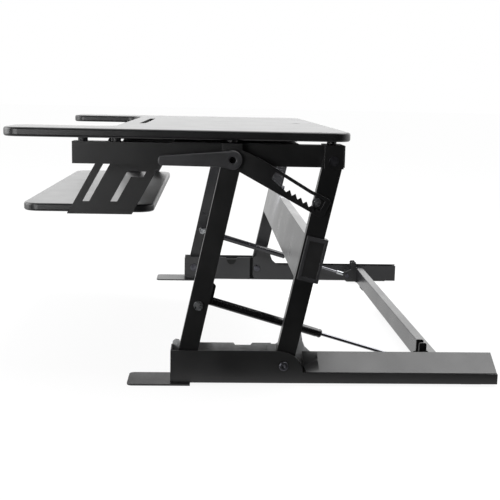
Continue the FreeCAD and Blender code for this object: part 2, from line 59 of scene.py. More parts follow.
# colours, nodes and finishes
def toLinear(hexCode):
    channels = [int(hexCode[k:k + 2], 16) / 255 for k in (1, 3, 5)]
    linear = [c / 12.92 if c <= 0.04045 else ((c + 0.055) / 1.055) ** 2.4 for c in channels]
    return (*linear, 1.0)


def addNode(tree, kind, links=None, settings=None, **inputs):
    node = tree.nodes.new(kind)
    for key, value in (settings or {}).items():
        setattr(node, key, value)
    for key, value in inputs.items():
        node.inputs[key.replace("_", " ")].default_value = value
    for key, source in (links or {}).items():
        tree.links.new(source, node.inputs[key])
    return node


def startMaterial(name):
    material = bpy.data.materials.new(name)
    material.use_nodes = True
    tree = material.node_tree
    tree.nodes.clear()
    return material, tree


mottle = {"toneStops": (0.32, 0.68), "glossSpan": (0.12, 0.4)}


def mottledFinish(name, look):
    # two close tones in soft patches, a fine grain in the gloss, and a grain bump
    material, tree = startMaterial(name)
    place = addNode(tree, "ShaderNodeTexCoord").outputs["Object"]
    patch = addNode(tree, "ShaderNodeTexNoise", {"Vector": place}, Scale=1000 / look["patchMm"], Detail=3.0)
    grain = addNode(tree, "ShaderNodeTexNoise", {"Vector": place}, Scale=1000 / look["grainMm"], Detail=2.0)
    tone = addNode(tree, "ShaderNodeValToRGB", {"Fac": patch.outputs["Fac"]})
    for stop, at, hexCode in zip(tone.color_ramp.elements, mottle["toneStops"], (look["dark"], look["light"])):
        stop.position = at
        stop.color = toLinear(hexCode)
    mixed = addNode(tree, "ShaderNodeMath", {0: patch.outputs["Fac"], 1: grain.outputs["Fac"]},
                    {"operation": "MULTIPLY"})
    gloss = addNode(tree, "ShaderNodeMapRange", {"Value": mixed.outputs[0]},
                    From_Min=mottle["glossSpan"][0], From_Max=mottle["glossSpan"][1],
                    To_Min=look["rough"][0], To_Max=look["rough"][1])
    bump = addNode(tree, "ShaderNodeBump", {"Height": grain.outputs["Fac"]}, Strength=look["bump"],
                   Distance=look["depthMm"] * mm)
    shader = addNode(tree, "ShaderNodeBsdfPrincipled",
                     {"Base Color": tone.outputs["Color"], "Roughness": gloss.outputs["Result"],
                      "Normal": bump.outputs["Normal"]}, Metallic=look.get("metallic", 0.0))
    if "ior" in look:
        shader.inputs["IOR"].default_value = look["ior"]
    addNode(tree, "ShaderNodeOutputMaterial", {"Surface": shader.outputs["BSDF"]})
    return material


# polyester powder coat, satin: cured melt leaves a faint orange peel, drawn a little coarse so that it shows
powderCoat = mottledFinish("satinPowderCoat", {
    "dark": "#060607", "light": "#0b0b0c", "patchMm": 60, "grainMm": 1.6,
    "rough": (0.32, 0.44), "bump": 0.14, "depthMm": 0.25, "ior": 1.5})
# the same coat on the bent sheet of the rails, where the greyer sheen of the lower gloss shows
sheetCoat = mottledFinish("sheetPowderCoat", {
    "dark": "#0d0d0e", "light": "#141415", "patchMm": 90, "grainMm": 1.8,
    "rough": (0.38, 0.5), "bump": 0.16, "depthMm": 0.25, "ior": 1.5})
# gloss powder coat on the long bars between the sides, smoother than the sheet parts
barCoat = mottledFinish("glossPowderCoat", {
    "dark": "#121213", "light": "#18181a", "patchMm": 110, "grainMm": 2.0,
    "rough": (0.26, 0.34), "bump": 0.1, "depthMm": 0.2, "ior": 1.5})
# melamine laminate on board, fine leather-like emboss
boardLaminate = mottledFinish("blackMelamine", {
    "dark": "#0b0b0c", "light": "#111113", "patchMm": 45, "grainMm": 1.3,
    "rough": (0.31, 0.35), "bump": 0.12, "depthMm": 0.2, "ior": 1.52})
# injection-moulded ABS with a spark-eroded texture
mouldedGrip = mottledFinish("texturedAbs", {
    "dark": "#1c1c1e", "light": "#242427", "patchMm": 25, "grainMm": 0.9,
    "rough": (0.38, 0.52), "bump": 0.3, "depthMm": 0.15, "ior": 1.53})
# black zinc plate on bolts and pins
blackZinc = mottledFinish("blackZincPlate", {
    "dark": "#3e3e43", "light": "#57575c", "patchMm": 8, "grainMm": 0.8,
    "rough": (0.28, 0.45), "bump": 0.15, "depthMm": 0.05, "metallic": 1.0})
# nitrided piston rod: ground, dark, glossy
nitridedRod = mottledFinish("nitridedSteel", {
    "dark": "#6c6c70", "light": "#808084", "patchMm": 12, "grainMm": 0.7,
    "rough": (0.16, 0.26), "bump": 0.08, "depthMm": 0.03, "metallic": 1.0})
# clear passivated zinc on the spring pins and rod ends
brightZinc = mottledFinish("clearZincPlate", {
    "dark": "#8d8f92", "light": "#b4b6b8", "patchMm": 6, "grainMm": 0.7,
    "rough": (0.22, 0.36), "bump": 0.1, "depthMm": 0.04, "metallic": 1.0})
# painted sheen: light grey on the inner wall faces that look outboard into the rail, standing in for the light that
# falls on them
paintedSheenLining = mottledFinish("paintedSheenSheet", {
    "dark": "#a9aaab", "light": "#c0c1c2", "patchMm": 14, "grainMm": 1.0,
    "rough": (0.42, 0.58), "bump": 0.1, "depthMm": 0.05, "metallic": 0.15})
# phosphated steel, dull and nearly black, on the lever shafts; on the bottom of the lap seam the same near-black is
# painted shade
phosphateAndSeamShade = mottledFinish("blackPhosphateSeamShade", {
    "dark": "#040404", "light": "#070707", "patchMm": 20, "grainMm": 1.2,
    "rough": (0.9, 0.98), "bump": 0.2, "depthMm": 0.1, "ior": 1.2})
# sunk panel of the covers, a finer and darker mould texture than their frame
panelGrain = mottledFinish("fineTextureAbs", {
    "dark": "#0a0a0b", "light": "#101011", "patchMm": 20, "grainMm": 0.8,
    "rough": (0.5, 0.6), "bump": 0.2, "depthMm": 0.1, "ior": 1.45})
# painted spring tube, smoother and darker than the frame
tubeLacquer = mottledFinish("springTubeLacquer", {
    "dark": "#08080a", "light": "#0e0e10", "patchMm": 40, "grainMm": 2.2,
    "rough": (0.2, 0.3), "bump": 0.08, "depthMm": 0.1, "ior": 1.5})
# moulded rubber feet
padRubber = mottledFinish("mouldedRubber", {
    "dark": "#060606", "light": "#0c0c0c", "patchMm": 15, "grainMm": 1.0,
    "rough": (0.8, 0.92), "bump": 0.4, "depthMm": 0.2, "ior": 1.4})
print("finishes made")

finishOf = {"black_steel": powderCoat, "desk_laminate": boardLaminate, "dark_plastic": mouldedGrip,
            "bolt_steel": blackZinc, "rubber": padRubber, "rod_chrome": nitridedRod}


def coatNode(name, material):
    slots = nodes[name].data.materials
    slots.clear()
    slots.append(material)


for nodeName in nodes:
    coatNode(nodeName, finishOf[slotOf[nodeName]])


# ways to shape a piece and put it on its body
def intoScene(name, mesh, material, body, slot, *stands):
    piece = bpy.data.objects.new(name, mesh)
    bpy.context.scene.collection.objects.link(piece)
    mesh.materials.clear()
    mesh.materials.append(material)
    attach(piece, body)
    if stands:
        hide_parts(*stands)
    return piece


def evenShading(piece):
    weighted = piece.modifiers.new("evenShading", "WEIGHTED_NORMAL")
    weighted.keep_sharp = True
    return piece


def softenEdges(piece, name, width, angle):
    bevel = piece.modifiers.new(name, "BEVEL")
    bevel.width = width
    bevel.segments = 2
    bevel.limit_method = "ANGLE"
    bevel.angle_limit = math.radians(angle)
    return bevel


flatAngle = math.radians(0.6)
foldDegrees = 35


def finishedCopy(nodeName, material, edgeMm, merge=True, coatsAndPaintedTones=()):
    # the CAD solid with its folds and cut edges eased; each extra coat covers the faces that look
    # outboard (1) or inboard (-1) between two distances from the middle; on the rail walls these coats are painted
    # sheen and painted shade, on the covers a real finish
    mesh = nodes[nodeName].data.copy()
    form = bmesh.new()
    form.from_mesh(mesh)
    bmesh.ops.remove_doubles(form, verts=form.verts, dist=weldGap)
    if merge:
        bmesh.ops.dissolve_limit(form, angle_limit=flatAngle, verts=form.verts, edges=form.edges)
    for face in form.faces:
        face.smooth = True
    form.to_mesh(mesh)
    form.free()
    piece = intoScene(nodeName + "_finished", mesh, material, bodyOf[nodeName], slotOf[nodeName], nodeName)
    for k, coat in enumerate(coatsAndPaintedTones):
        mesh.materials.append(coat["finish"])
        low, high = (v * mm for v in coat["betweenMm"])
        for polygon in mesh.polygons:
            outward = polygon.normal.x * math.copysign(1, polygon.center.x)
            if outward * coat["looks"] > 0.9 and low < abs(polygon.center.x) < high:
                polygon.material_index = k + 1
    softenEdges(piece, "softEdges", edgeMm * mm, foldDegrees).harden_normals = True
    return evenShading(piece)


nearlyStraight = 3.05
edgeShare = 0.48


def rounded(points, radius, steps=6):
    # corner points (across, up[, own radius]) with each corner turned into an arc
    path = []
    for k, point in enumerate(points):
        corner = Vector(point[:2])
        before = Vector(points[k - 1][:2]) - corner
        after = Vector(points[(k + 1) % len(points)][:2]) - corner
        r = point[2] if len(point) > 2 else radius
        angle = before.angle(after)
        if r <= 0 or angle > nearlyStraight:
            path.append(tuple(corner))
            continue
        back = min(r / math.tan(angle / 2), edgeShare * before.length, edgeShare * after.length)
        r = back * math.tan(angle / 2)
        centre = corner + (before.normalized() + after.normalized()).normalized() * (r / math.sin(angle / 2))
        first = corner + before.normalized() * back - centre
        last = corner + after.normalized() * back - centre
        start = math.atan2(first.y, first.x)
        sweep = (math.atan2(last.y, last.x) - start + math.pi) % (2 * math.pi) - math.pi
        for step in range(steps + 1):
            a = start + sweep * step / steps
            path.append((centre.x + r * math.cos(a), centre.y + r * math.sin(a)))
    return path


def circle(across, up, r, count=40):
    return [(across + r * math.cos(2 * math.pi * k / count), up + r * math.sin(2 * math.pi * k / count))
            for k in range(count)]


def signedArea(loop):
    return sum(loop[k - 1][0] * loop[k][1] - loop[k][0] * loop[k - 1][1] for k in range(len(loop))) / 2


# an outline is drawn flat and extruded along its third axis: these lay that axis along X or keep it along Z
layX = Matrix(((0, 0, 1, 0), (1, 0, 0, 0), (0, 1, 0, 0), (0, 0, 0, 1)))
layZ = Matrix.Identity(4)


def plateForm(loops, low, high, ease, lay=layX, rings=3):
    # first loop is the outline, the others are holes; rims rounded by ease
    curve = bpy.data.curves.new("outline", "CURVE")
    curve.dimensions = "2D"
    curve.fill_mode = "BOTH"
    curve.extrude = ((high - low) / 2 - ease) * mm
    curve.bevel_depth = ease * mm
    curve.bevel_resolution = rings
    curve.offset = -ease * mm
    for k, loop in enumerate(loops):
        if (signedArea(loop) > 0) != (k == 0):
            loop = loop[::-1]
        spline = curve.splines.new("POLY")
        spline.points.add(len(loop) - 1)
        spline.use_cyclic_u = True
        for dot, (across, up) in zip(spline.points, loop):
            dot.co = (across * mm, up * mm, 0, 1)
    drawn = bpy.data.objects.new("outline", curve)
    bpy.context.scene.collection.objects.link(drawn)
    bpy.context.view_layer.update()
    mesh = bpy.data.meshes.new_from_object(drawn.evaluated_get(bpy.context.evaluated_depsgraph_get()))
    bpy.data.objects.remove(drawn)
    bpy.data.curves.remove(curve)
    form = bmesh.new()
    form.from_mesh(mesh)
    bpy.data.meshes.remove(mesh)
    bmesh.ops.remove_doubles(form, verts=form.verts, dist=weldGap)
    bmesh.ops.translate(form, vec=Vector((0, 0, (low + high) / 2 * mm)), verts=form.verts)
    bmesh.ops.transform(form, matrix=lay, verts=form.verts)
    bmesh.ops.recalc_face_normals(form, faces=form.faces)
    return form


def turnedForm(profile, start, direction, count=36):
    # profile of (along, radius) turned about a line from start
    axis = Vector(direction).normalized()
    side = axis.orthogonal().normalized()
    up = axis.cross(side)
    form = bmesh.new()
    rings = []
    for along, r in profile:
        middle = Vector(start) + axis * along
        if r <= 0:
            rings.append([form.verts.new(middle * mm)])
            continue
        rings.append([form.verts.new((middle + r * (math.cos(2 * math.pi * k / count) * side
                                      + math.sin(2 * math.pi * k / count) * up)) * mm) for k in range(count)])
    for near, far in zip(rings, rings[1:]):
        for k in range(count):
            n = (k + 1) % count
            if len(near) == 1:
                form.faces.new((near[0], far[n], far[k]))
            elif len(far) == 1:
                form.faces.new((near[k], near[n], far[0]))
            else:
                form.faces.new((near[k], near[n], far[n], far[k]))
    bmesh.ops.recalc_face_normals(form, faces=form.faces)
    return form


def asMesh(name, *forms):
    mesh = bpy.data.meshes.new(name)
    whole = bmesh.new()
    for form in forms:
        part = bpy.data.meshes.new("part")
        form.to_mesh(part)
        form.free()
        whole.from_mesh(part)
        bpy.data.meshes.remove(part)
    for face in whole.faces:
        face.smooth = True
    whole.to_mesh(mesh)
    whole.free()
    return mesh


def shown(name, material, nodeName, *forms):
    return evenShading(intoScene(name, asMesh(name, *forms), material, bodyOf[nodeName], slotOf[nodeName],
                                 nodeName))


def span(nodeName):
    # node box in mm
    low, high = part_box(nodeName)
    return [v / mm for v in low], [v / mm for v in high]


# rails, sheets and tubes
foldedSheets = {"base_rail": (sheetCoat, 0.9), "foot_plate": (sheetCoat, 0.8),
                "tray_bracket": (sheetCoat, 0.6), "leg_gusset": (powderCoat, 0.5)}
tubes = {"front_leg": 2.2, "rear_leg": 2.2, "upper_rail": 1.2}
# inner rail walls: painted sheen on their outboard-looking faces, painted shade at the bottom of their lap seam
sheenAndShadeWalls = {"box_inner_wall": 0.5, "rail_inner_plate": 0.5}
railSheenAndShade = ({"looks": 1, "betweenMm": (413.9, 418.0), "finish": paintedSheenLining},
               # painted shade: near-black on the inboard faces at the bottom of the lap seam
               {"looks": -1, "betweenMm": (414.6, 415.2), "finish": phosphateAndSeamShade})
coverPanel = ({"looks": 1, "betweenMm": (452.3, 452.9), "finish": panelGrain},)
smallParts = {"spring_clevis": (powderCoat, 0.5), "spring_pin": (brightZinc, 0.4), "rack_pin": (brightZinc, 0.4),
              "rail_cover": (sheetCoat, 0.4)}
for side, sign in sides:
    for stem, (finish, ease) in foldedSheets.items():
        finishedCopy(stem + "_" + side, finish, ease)
    for stem, ease in tubes.items():
        finishedCopy(stem + "_" + side, powderCoat, ease)
    for stem, ease in sheenAndShadeWalls.items():
        finishedCopy(stem + "_" + side, sheetCoat, ease, coatsAndPaintedTones=railSheenAndShade)
    finishedCopy("crossbar_cover_" + side, mouldedGrip, 0.9, merge=False, coatsAndPaintedTones=coverPanel)
    for stem, (finish, ease) in smallParts.items():
        finishedCopy(stem + "_" + side, finish, ease, merge=False)
finishedCopy("rear_crossbeam", barCoat, 0.5)
finishedCopy("rear_crossbar", barCoat, 0.8)
finishedCopy("cross_plate", sheetCoat, 0.4, merge=False)
finishedCopy("pivot_cheeks_front", powderCoat, 0.6, merge=False)
finishedCopy("pivot_cheeks_rear", powderCoat, 0.6, merge=False)
finishedCopy("rest_pads", padRubber, 1.2, merge=False)
finishedCopy("rubber_pads", padRubber, 0.8, merge=False)
finishedCopy("top_bolts_rear", blackZinc, 0.8, merge=False)
print("rails, sheets and tubes done")

# desktop: outline with its U cut, rounded rims, then the slot and the plug hole
deskLow, deskHigh = span("desktop")
board = {"arm": 120, "reach": 166, "corner": 28, "armCorner": 26, "cutCorner": 34, "rim": 4.0,
         "plugR": 6.15, "plugBack": 50,
         "slot": {"length": 330, "width": 12, "deep": 9, "back": 37, "above": 6, "ease": 1.2, "lip": 0.5,
                  "lipDegrees": 50}}
x1, y0, y1 = deskHigh[0], deskLow[1], deskHigh[1]
inner, cut = x1 - board["arm"], y0 + board["reach"]
around = rounded([(-x1, y0), (-inner, y0, board["armCorner"]), (-inner, cut, board["cutCorner"]),
                  (inner, cut, board["cutCorner"]), (inner, y0, board["armCorner"]), (x1, y0), (x1, y1), (-x1, y1)],
                 board["corner"], steps=14)
deskForm = plateForm([around, circle(0, y1 - board["plugBack"], board["plugR"])], deskLow[2], deskHigh[2],
                     board["rim"], layZ, rings=5)
desktop = shown("desktop_board", boardLaminate, "desktop", deskForm)
slot = board["slot"]
slotMiddle = cut + slot["back"]
sx, sy = slot["length"] / 2, slot["width"] / 2
cutterPath = rounded([(-sx, slotMiddle - sy), (sx, slotMiddle - sy), (sx, slotMiddle + sy),
                      (-sx, slotMiddle + sy)], sy - 0.05, steps=8)
cutterForm = plateForm([cutterPath], deskHigh[2] - slot["deep"], deskHigh[2] + slot["above"], slot["ease"], layZ)
cutter = bpy.data.objects.new("slotCutter", asMesh("slotCutter", cutterForm))
bpy.context.scene.collection.objects.link(cutter)
carve = desktop.modifiers.new("slotCut", "BOOLEAN")
carve.object = cutter
carve.solver = "EXACT"
desktop.modifiers.remove(desktop.modifiers["evenShading"])
bpy.context.view_layer.update()
carved = bpy.data.meshes.new_from_object(desktop.evaluated_get(bpy.context.evaluated_depsgraph_get()))
desktop.modifiers.clear()
desktop.data = carved
bpy.data.objects.remove(cutter)
softenEdges(desktop, "slotLip", slot["lip"] * mm, slot["lipDegrees"])
evenShading(desktop)

# plug of the small cable hole, flush with the board
plugLow, plugHigh = span("cable_plug")
shown("cable_plug_cap", mouldedGrip, "cable_plug",
      turnedForm([(0, 0), (0, 5.2), (0.6, 5.8), (9.6, 6.0), (11.2, 6.0), (11.8, 5.4), (11.4, 4.6), (11.2, 0)],
                 (0, (plugLow[1] + plugHigh[1]) / 2, plugLow[2]), (0, 0, 1)))

# keyboard tray
trayLow, trayHigh = span("keyboard_tray")
trayLook = {"corner": 30, "rim": 3.5}
trayPath = rounded([(trayLow[0], trayLow[1]), (trayHigh[0], trayLow[1]), (trayHigh[0], trayHigh[1]),
                    (trayLow[0], trayHigh[1])], trayLook["corner"], steps=14)
shown("tray_board", boardLaminate, "keyboard_tray",
      plateForm([trayPath], trayLow[2], trayHigh[2], trayLook["rim"], layZ, rings=5))
print("boards done")

# linkage points shared by the moving pieces
link = {"leg": 351.0, "lean": math.radians(77.9), "gap": 165.0, "baseFront": -117.3, "pivotHeight": 32.7}
legDir = Vector((math.cos(link["lean"]), math.sin(link["lean"])))
footFront = Vector((link["baseFront"], link["pivotHeight"]))
footRear = Vector((link["baseFront"] + link["gap"], link["pivotHeight"]))
top = footFront + link["leg"] * legDir

# latch rack: toothed slot cut in a plate that hangs from the lever shaft
rackTilt = math.radians(-25.9)
rackLook = {"firstTooth": 101.5, "pitch": 11.0, "lean": 4.0, "teeth": 6, "hole": 5.1, "ease": 0.5}


def onRack(u, w, r=0.0):
    return (top.x + u * math.cos(rackTilt) - w * math.sin(rackTilt),
            top.y + u * math.sin(rackTilt) + w * math.cos(rackTilt), r)


rackEdge = [onRack(-17, 12, 8), onRack(-4, 20, 8), onRack(40, 22, 6), onRack(66, 20, 4), onRack(138, 13.8, 20),
            onRack(170, 14, 3), onRack(174, 10.5, 3), onRack(174, -14, 4), onRack(167, -19.5, 4),
            onRack(20, -12.5, 10), onRack(0, -16, 8), onRack(-17, -8, 6)]
toothLine = [onRack(70, 1.5, 2), onRack(71.5, 14.2, 2), onRack(138, 8.2, 10), onRack(165, 8.8, 2),
             onRack(165, -11, 1.5)]
for k in reversed(range(rackLook["teeth"])):
    root = rackLook["firstTooth"] + k * rackLook["pitch"]
    tip = root + rackLook["lean"]
    toothLine.append(onRack(tip, -0.7 - 0.14 * (tip - rackLook["firstTooth"]), 0.5))
    toothLine.append(onRack(root, -7.4 - 0.12 * (root - rackLook["firstTooth"]), 1.0))
toothLine += [onRack(95, -4.6, 2), onRack(80, -1.2, 3)]

# lever: moulded handle with a socket over the shaft
grip = {"boss": 15.5, "reach": 119.0, "ease": 2.6, "bore": 5.1, "bossSteps": 16, "bossFrom": 118}
tipY = top.x - grip["reach"]
leverEdge = [(tipY, top.y - 10.2, 9), (tipY, top.y + 4.6, 6), (top.x - 17, top.y + 13.2, 30)]
for k in range(grip["bossSteps"] + 1):
    a = math.radians(grip["bossFrom"] - 2 * grip["bossFrom"] * k / grip["bossSteps"])
    leverEdge.append((top.x + grip["boss"] * math.cos(a), top.y + grip["boss"] * math.sin(a), 0))
leverEdge.append((top.x - 17, top.y - 11.4, 30))
# shaft: a headed pin with a blind hole in its outer end
shaft = {"head": 8, "headTall": 4.0, "body": 5, "hole": 2.4, "holeDeep": 5}
for side, sign in sides:
    rackLow, rackHigh = span("rack_plate_" + side)
    shown("rack_" + side, powderCoat, "rack_plate_" + side,
          plateForm([rounded(rackEdge, 0), rounded(toothLine, 0, steps=3), circle(top.x, top.y, rackLook["hole"])],
                    rackLow[0], rackHigh[0], rackLook["ease"]))
    leverLow, leverHigh = span("lever_" + side)
    shown("lever_grip_" + side, mouldedGrip, "lever_" + side,
          plateForm([rounded(leverEdge, 0, steps=8), circle(top.x, top.y, grip["bore"])],
                    leverLow[0], leverHigh[0], grip["ease"], rings=6))
    shaftLow, shaftHigh = span("lever_shaft_" + side)
    outer = shaftHigh[0] if sign > 0 else shaftLow[0]
    inward = shaftLow[0] if sign > 0 else shaftHigh[0]
    long = abs(outer - inward)
    shown("lever_pin_" + side, phosphateAndSeamShade, "lever_shaft_" + side,
          turnedForm([(0, 0), (0, 7.2), (0.8, shaft["head"]), (shaft["headTall"], shaft["head"]),
                      (shaft["headTall"], shaft["body"]), (long - 0.6, shaft["body"]), (long, 4.4), (long, 2.6),
                      (long - shaft["holeDeep"], shaft["hole"]), (long - shaft["holeDeep"], 0)],
                     (inward, top.x, top.y), (sign, 0, 0)))
print("levers and racks done")

# gas springs: lacquered tube with an eye, ground rod, forged rod end
spring = {"pinAlong": 103.0, "x": 388.0, "ball": (279.0, 23.0), "tube": 7.5, "rod": 3, "tubeEnd": 223.0,
          "eye": 9, "eyeBore": 4.1, "eyeHalf": 7, "eyeEase": 1.2, "piston": 6.3}
eyeAt = footFront + spring["pinAlong"] * legDir
pull = Vector(spring["ball"]) - eyeAt
reach = pull.length
for side, sign in sides:
    at = (spring["x"] * sign, eyeAt.x, eyeAt.y)
    run = (0, pull.x, pull.y)
    r, end = spring["tube"], spring["tubeEnd"]
    shown("spring_tube_" + side, tubeLacquer, "gas_cylinder_" + side,
          turnedForm([(7.5, 0), (7.5, 4.6), (12, 4.6), (13.5, 6.9), (15.5, r), (end - 9, r), (end - 8, r - 0.5),
                      (end - 6.5, r - 0.5), (end - 5.5, r), (end - 2.5, r), (end - 0.6, r - 1.3), (end, 5.2),
                      (end, 3.4), (end - 2, 3.1), (end - 2, 0)], at, run, 44),
          plateForm([circle(eyeAt.x, eyeAt.y, spring["eye"]), circle(eyeAt.x, eyeAt.y, spring["eyeBore"])],
                    at[0] - spring["eyeHalf"], at[0] + spring["eyeHalf"], spring["eyeEase"]))
    shown("spring_rod_" + side, nitridedRod, "gas_rod_" + side,
          turnedForm([(end - 62, 0), (end - 62, 5.6), (end - 61, spring["piston"]), (end - 50, spring["piston"]),
                      (end - 50, spring["rod"]), (reach - 14.4, spring["rod"]), (reach - 14, 2.6),
                      (reach - 14, 0)], at, run, 36))
    ballAt = (at[0], spring["ball"][0], spring["ball"][1])
    cup = [(-6, 5.2)] + [(8 * math.cos(math.radians(a)) * -0.75, 8 * math.sin(math.radians(a)))
                         for a in range(45, 136, 10)] + [(6, 5.2)]
    shown("rod_end_cup_" + side, brightZinc, "rod_end_" + side,
          turnedForm([(reach - 26, 3.05), (reach - 26, 4.4), (reach - 25.4, 5), (reach - 10, 5), (reach - 5, 4.2),
                      (reach - 5, 0)], at, run, 6),
          turnedForm([(-9.2, 0), (-9.2, 2.6), (-8.8, 3), (-6, 3)] + cup + [(6, 3), (8.8, 3), (9.2, 2.6), (9.2, 0)],
                     ballAt, (1, 0, 0), 32))
print("gas springs done")


# repeated fasteners, placed by a node tree
def placingTree():
    # every point gets the template, turned so that its Z follows the point's aim
    tree = bpy.data.node_groups.new("placedFasteners", "GeometryNodeTree")
    named = {}
    for label, kind in (("Geometry", "NodeSocketGeometry"), ("Template", "NodeSocketObject"),
                        ("Finish", "NodeSocketMaterial"), ("Scale", "NodeSocketFloat")):
        named[label] = tree.interface.new_socket(label, in_out="INPUT", socket_type=kind).identifier
    tree.interface.new_socket("Geometry", in_out="OUTPUT", socket_type="NodeSocketGeometry")
    entry = addNode(tree, "NodeGroupInput")
    dots = addNode(tree, "GeometryNodeMeshToPoints", {"Mesh": entry.outputs["Geometry"]})
    template = addNode(tree, "GeometryNodeObjectInfo", {"Object": entry.outputs["Template"]})
    aim = addNode(tree, "GeometryNodeInputNamedAttribute", None, {"data_type": "FLOAT_VECTOR"})
    aim.inputs["Name"].default_value = "aim"
    turn = addNode(tree, "FunctionNodeAlignRotationToVector", {"Vector": aim.outputs["Attribute"]}, {"axis": "Z"})
    placed = addNode(tree, "GeometryNodeInstanceOnPoints",
                     {"Points": dots.outputs["Points"], "Instance": template.outputs["Geometry"],
                      "Rotation": turn.outputs["Rotation"], "Scale": entry.outputs["Scale"]})
    real = addNode(tree, "GeometryNodeRealizeInstances", {"Geometry": placed.outputs["Instances"]})
    coated = addNode(tree, "GeometryNodeSetMaterial",
                     {"Geometry": real.outputs["Geometry"], "Material": entry.outputs["Finish"]})
    addNode(tree, "NodeGroupOutput", {"Geometry": coated.outputs["Geometry"]})
    return tree, named


fastenerTree, fastenerInputs = placingTree()


def screwForm(shape):
    # head with a hexagon socket, on a shank; the seat is at z = 0 and the shank runs down
    count = 36
    head, tall, socket, deep = shape["head"], shape["tall"], shape["socket"], shape["deep"]
    shank, long = shape["shank"], shape["long"]
    crown = 0.25 * tall
    form = bmesh.new()

    def ringAt(r, z, hexed=False):
        verts = []
        for k in range(count):
            a = 2 * math.pi * k / count
            reachOut = r
            if hexed:
                reachOut = r * math.cos(math.pi / 6) / math.cos((a % (math.pi / 3)) - math.pi / 6)
            verts.append(form.verts.new((reachOut * math.cos(a) * mm, reachOut * math.sin(a) * mm, z * mm)))
        return verts

    rings = [ringAt(shank * 0.8, -long), ringAt(shank, -long + 0.8), ringAt(shank, 0), ringAt(head - 0.15, 0),
             ringAt(head, 0.2), ringAt(head, tall - crown), ringAt(head - 0.5 * crown, tall - 0.25 * crown),
             ringAt(head - 1.3 * crown, tall), ringAt(socket + 0.3, tall, True), ringAt(socket, tall - 0.3, True),
             ringAt(socket, tall - deep, True)]
    for near, far in zip(rings, rings[1:]):
        for k in range(count):
            n = (k + 1) % count
            form.faces.new((near[k], near[n], far[n], far[k]))
    form.faces.new(rings[0])
    form.faces.new(rings[-1])
    bmesh.ops.recalc_face_normals(form, faces=form.faces)
    return form


def fastenerRow(nodeName, finish, seats, **shape):
    # seats: (place in mm, direction the head faces)
    template = bpy.data.objects.new("template", asMesh("template", screwForm(shape)))
    spots = bpy.data.meshes.new("spots")
    spots.from_pydata([tuple(v * mm for v in place) for place, facing in seats], [], [])
    aim = spots.attributes.new("aim", "FLOAT_VECTOR", "POINT")
    for k, (place, facing) in enumerate(seats):
        aim.data[k].vector = facing
    holder = bpy.data.objects.new("spots", spots)
    for thing in (template, holder):
        bpy.context.scene.collection.objects.link(thing)
    row = holder.modifiers.new("row", "NODES")
    row.node_group = fastenerTree
    row[fastenerInputs["Template"]] = template
    row[fastenerInputs["Finish"]] = finish
    row[fastenerInputs["Scale"]] = 1.0
    bpy.context.view_layer.update()
    mesh = bpy.data.meshes.new_from_object(holder.evaluated_get(bpy.context.evaluated_depsgraph_get()))
    for thing in (template, holder):
        bpy.data.objects.remove(thing)
    mesh.name = nodeName + "_row"
    return evenShading(intoScene(nodeName + "_row", mesh, finish, bodyOf[nodeName], slotOf[nodeName], nodeName))


# outward place of each row in mm, and its screw
footScrews = {"x": 434, "behindFront": (10, 25), "z": 5,
              "screw": {"head": 5, "tall": 2, "socket": 1.7, "deep": 1.3, "shank": 2.5, "long": 4.4}}
beamBolts = {"x": 414.5, "z": 21, "aheadOfRear": 97.5,
             "screw": {"head": 6, "tall": 4, "socket": 2.6, "deep": 2.4, "shank": 3, "long": 8}}
barScrews = {"x": 429, "up": (166, 205), "across": -8,
             "screw": {"head": 5, "tall": 5, "socket": 2.2, "deep": 2.5, "shank": 3, "long": 21}}
trayScrews = {"x": 326, "y": (-305, -234), "tall": 2.5,
              "screw": {"head": 4.5, "tall": 2.5, "socket": 1.6, "deep": 1.4, "shank": 2, "long": 9.7}}
railFront, railRear = -141.5, 412.5
footSeats = [((footScrews["x"] * s, railFront + d, footScrews["z"]), (0, 0, 1))
             for s in (1, -1) for d in footScrews["behindFront"]]
fastenerRow("foot_plate_screws", blackZinc, footSeats, **footScrews["screw"])
beamSeats = [((beamBolts["x"] * s, railRear - beamBolts["aheadOfRear"], beamBolts["z"]), (s, 0, 0))
             for s in (1, -1)]
fastenerRow("crossbeam_bolts", blackZinc, beamSeats, **beamBolts["screw"])
barSeats = []
for s in (1, -1):
    for d in barScrews["up"]:
        spot = footRear + d * legDir
        spot += barScrews["across"] * Vector((legDir.y, -legDir.x))
        barSeats.append(((barScrews["x"] * s, spot.x, spot.y), (-s, 0, 0)))
fastenerRow("crossbar_screws", blackZinc, barSeats, **barScrews["screw"])

# pivot bolts through the rails: washer faces inside, a flanged cap with a blind hole outside
boltProfile = [(408.5, 0), (408.5, 7.2), (409.2, 8), (412.5, 8), (412.5, 5), (414.8, 5), (414.8, 9), (431.7, 9),
               (431.7, 5), (457.5, 5), (457.5, 7.6), (457.9, 8), (459.6, 8), (461, 6.6), (461, 4.4),
               (460.4, 3.8), (458.6, 3.5), (458.6, 0)]
bolts = [turnedForm(boltProfile, (0, footRear.x, footRear.y), (s, 0, 0)) for s in (1, -1)]
shown("base_bolts_rear_turned", blackZinc, "base_bolts_rear", *bolts)

trayUnder = span("tray_screws")[0][2]
traySeats = [((s * trayScrews["x"], y, trayUnder + trayScrews["tall"]), (0, 0, -1))
             for s in (1, -1) for y in trayScrews["y"]]
fastenerRow("tray_screws", blackZinc, traySeats, **trayScrews["screw"])
print("fasteners done")

